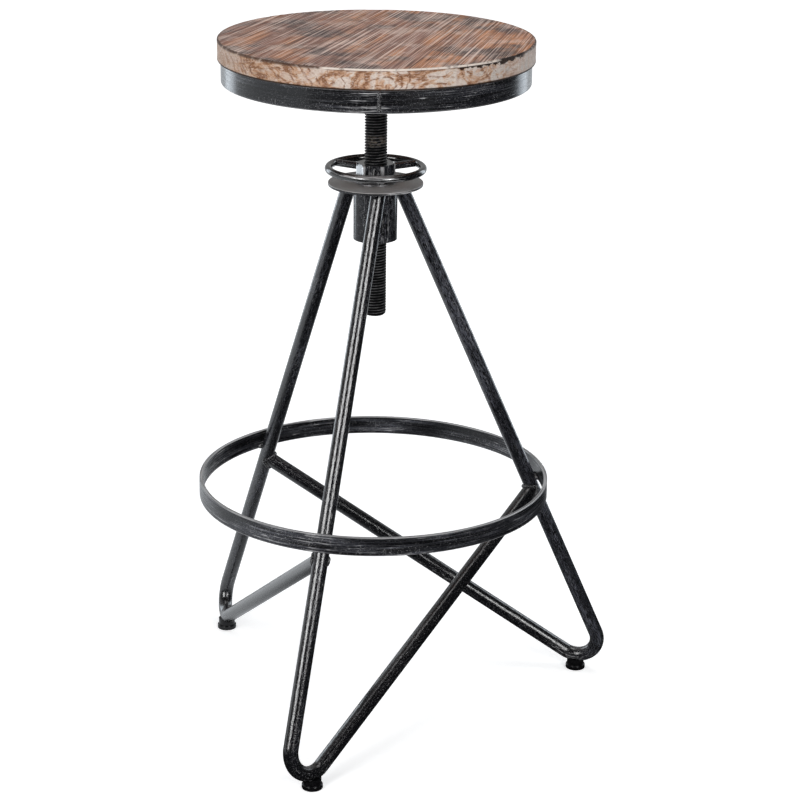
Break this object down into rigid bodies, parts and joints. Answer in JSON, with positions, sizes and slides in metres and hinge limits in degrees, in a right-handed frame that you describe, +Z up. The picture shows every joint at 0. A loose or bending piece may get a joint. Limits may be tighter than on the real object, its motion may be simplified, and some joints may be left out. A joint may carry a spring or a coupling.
{
  "type": "bar stool",
  "caption": "Bar stool with a round plank seat on a threaded post, raised by a handwheel nut, on bent-tube legs with a ring footrest.",
  "frame": {"origin": "on the floor plane, on the seat's axis, between the three foot glides", "axes": "+Z up along the threaded post, -Y towards the front leg's side of the picture, +X to the right in the picture"},
  "size_m": [0.4523, 0.4587, 0.737],
  "materials": {
    "steel": "black paint rubbed back to silver in streaks",
    "weld": "painted weld bead",
    "screw": "blackened thread, crests worn bright",
    "bare_steel": "plain turned steel",
    "bush": "moulded guide bush",
    "glide": "smooth black plastic",
    "plank": "brushed, brown-stained and limed softwood"
  },
  "bodies": {
    "frame": {"top_plate": "steel", "guide_sleeve": "steel", "guide_bush_upper": "bush", "guide_bush_lower": "bush", "leg_tube_1": "steel", "leg_tube_2": "steel", "leg_tube_3": "steel", "footrest_ring": "steel", "foot_glide_1": "glide", "foot_glide_2": "glide", "foot_glide_3": "glide", "leg_plate_welds": "weld", "arm_welds": "weld", "footrest_welds": "weld"},
    "swivel": {"thrust_washer": "bare_steel"},
    "handwheel": {"handwheel_nut": "steel", "handwheel_rim": "steel", "handwheel_spokes": "steel"},
    "seat": {"lead_screw": "screw", "seat_flange": "steel", "cross_bar": "steel", "cross_bar_halves": "steel", "seat_hoop": "steel", "seat_board_1": "plank", "seat_board_2": "plank", "seat_board_3": "plank", "seat_board_4": "plank", "seat_screws": "bare_steel", "seat_frame_welds": "weld"}
  },
  "joints": [
    {"name": "seat_swivel", "type": "hinge", "parent": "frame", "child": "swivel", "pos_m": [0, 0, 0.585], "axis": [0, 0, 1], "continuous": true},
    {"name": "handwheel_turn", "type": "hinge", "parent": "swivel", "child": "handwheel", "pos_m": [0, 0, 0.596], "axis": [0, 0, 1], "range_deg": [-9000, 9000]},
    {"name": "seat_lift", "type": "slide", "parent": "swivel", "child": "seat", "axis": [0, 0, 1], "range_m": [-0.075, 0.075]}
  ],
  "couplings": [
    {"joint": "seat_lift", "follows": "handwheel_turn", "m_per_rad": -0.00047746}
  ]
}
